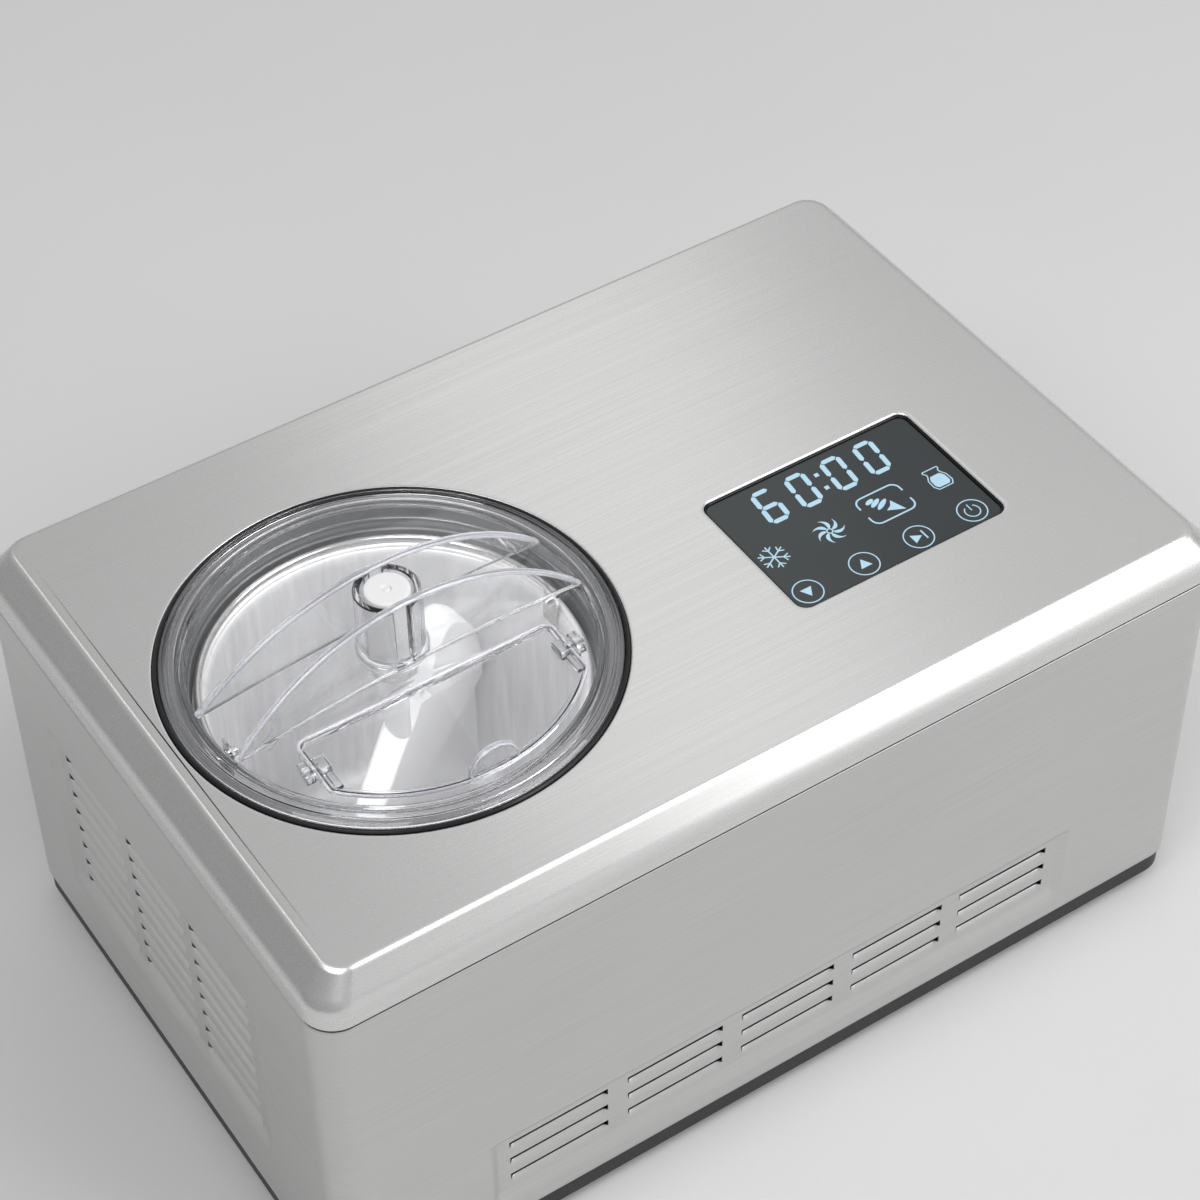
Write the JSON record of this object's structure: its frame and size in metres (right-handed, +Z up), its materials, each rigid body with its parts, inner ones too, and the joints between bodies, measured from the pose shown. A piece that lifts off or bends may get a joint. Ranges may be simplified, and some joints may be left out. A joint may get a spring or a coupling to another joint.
{
  "type": "ice cream maker",
  "caption": "Countertop compressor ice cream maker: long stainless housing, clear lift-off lid with hinged hatch, removable bowl with bail, turning paddle, touch display.",
  "frame": {"origin": "on the surface it stands on, under the centre of the housing", "axes": "+Z up, +X along the long side towards the display end, +Y towards the back; the vented front faces -Y"},
  "size_m": [0.425, 0.2788, 0.2505],
  "materials": {
    "stainless": "brushed",
    "dark_plastic": "fine texture",
    "grey_plastic": "satin",
    "white_plastic": "satin",
    "clear_plastic": "polished",
    "dark_glass": "polished",
    "rubber_black": "matte",
    "seal_silicone": "matte",
    "aluminium": "satin",
    "bowl_aluminium": "satin anodised",
    "zinc_screw": "plated",
    "copper": "drawn tube",
    "brass": "turned",
    "compressor_paint": "semi gloss",
    "galvanised": "galvanised",
    "foam": "foamed",
    "board_green": "laminate",
    "gear_nylon": "moulded",
    "motor_steel": "zinc plated"
  },
  "bodies": {
    "housing": {"base_tray": "dark_plastic", "feet": "rubber_black", "foot_screws": "zinc_screw", "body_wrap": "stainless", "rear_panel": "dark_plastic", "rear_screws": "zinc_screw", "cable_gland": "rubber_black", "gland_nut": "dark_plastic", "top_cover": "stainless", "display_bezel": "dark_plastic", "display_glass": "dark_glass", "control_board": "board_green", "board_clips": "dark_plastic", "well_trim_ring": "dark_plastic", "well_collar": "grey_plastic", "evaporator_well": "aluminium", "evaporator_coil": "aluminium", "insulation_foam": "foam", "bowl_temperature_sensor": "copper", "gearbox_case": "dark_plastic", "gearbox_cover": "dark_plastic", "gearbox_screws": "zinc_screw", "idler_pin": "motor_steel", "motor_can": "motor_steel", "shaft_bush": "brass", "shaft_seal": "rubber_black", "compressor": "compressor_paint", "compressor_bracket": "galvanised", "compressor_grommets": "rubber_black", "compressor_bolts": "zinc_screw", "start_relay": "dark_plastic", "condenser_fins": "aluminium", "condenser_tube": "copper", "fan_frame": "dark_plastic", "suction_line": "copper", "discharge_line": "copper", "filter_drier": "copper", "liquid_line": "copper", "power_board": "board_green", "board_standoffs": "white_plastic"},
    "bowl": {"bowl": "bowl_aluminium", "bail_ears": "bowl_aluminium"},
    "handle": {"bail_handle": "zinc_screw"},
    "lid_carrier": {"lid_seal": "seal_silicone"},
    "paddle": {"paddle": "white_plastic"},
    "lid": {"lid": "clear_plastic"},
    "hatch": {"hatch": "clear_plastic"},
    "drive": {"drive_shaft": "motor_steel", "output_gear": "gear_nylon"},
    "idler": {"idler_gear": "gear_nylon"},
    "motor": {"motor_rotor": "motor_steel", "motor_pinion": "brass"},
    "fan": {"fan_impeller": "dark_plastic"}
  },
  "joints": [
    {"name": "bowl_lift", "type": "slide", "parent": "housing", "child": "bowl", "axis": [0, 0, 1], "range_m": [0, 0.2]},
    {"name": "handle_swing", "type": "hinge", "parent": "bowl", "child": "handle", "pos_m": [-0.1022, -0.0071, 0.1989], "axis": [1, 0, 0], "range_deg": [0, 180]},
    {"name": "paddle_lift", "type": "slide", "parent": "bowl", "child": "lid_carrier", "axis": [0, 0, 1], "range_m": [0, 0.16]},
    {"name": "paddle_spin", "type": "hinge", "parent": "lid_carrier", "child": "paddle", "pos_m": [-0.1022, -0.0071, 0.15], "axis": [0, 0, 1], "continuous": true},
    {"name": "lid_lift", "type": "slide", "parent": "lid_carrier", "child": "lid", "axis": [0, 0, 1], "range_m": [0, 0.3]},
    {"name": "hatch_hinge", "type": "hinge", "parent": "lid", "child": "hatch", "pos_m": [-0.1022, -0.0461, 0.2166], "axis": [-1, 0, 0], "range_deg": [0, 85]},
    {"name": "drive_spin", "type": "hinge", "parent": "housing", "child": "drive", "pos_m": [-0.1022, -0.0071, 0.05], "axis": [0, 0, 1], "continuous": true},
    {"name": "idler_spin", "type": "hinge", "parent": "housing", "child": "idler", "pos_m": [-0.0362, -0.0071, 0.03], "axis": [0, 0, 1], "continuous": true},
    {"name": "motor_spin", "type": "hinge", "parent": "housing", "child": "motor", "pos_m": [0.0148, -0.0071, 0.06], "axis": [0, 0, 1], "continuous": true},
    {"name": "fan_spin", "type": "hinge", "parent": "housing", "child": "fan", "pos_m": [0.165, -0.052, 0.078], "axis": [1, 0, 0], "continuous": true}
  ],
  "couplings": [
    {"joint": "handle_swing", "follows": "lid_lift", "rad_per_m": 10.472},
    {"joint": "drive_spin", "follows": "paddle_spin", "ratio": 1},
    {"joint": "idler_spin", "follows": "paddle_spin", "ratio": -4.5},
    {"joint": "motor_spin", "follows": "paddle_spin", "ratio": 21}
  ]
}
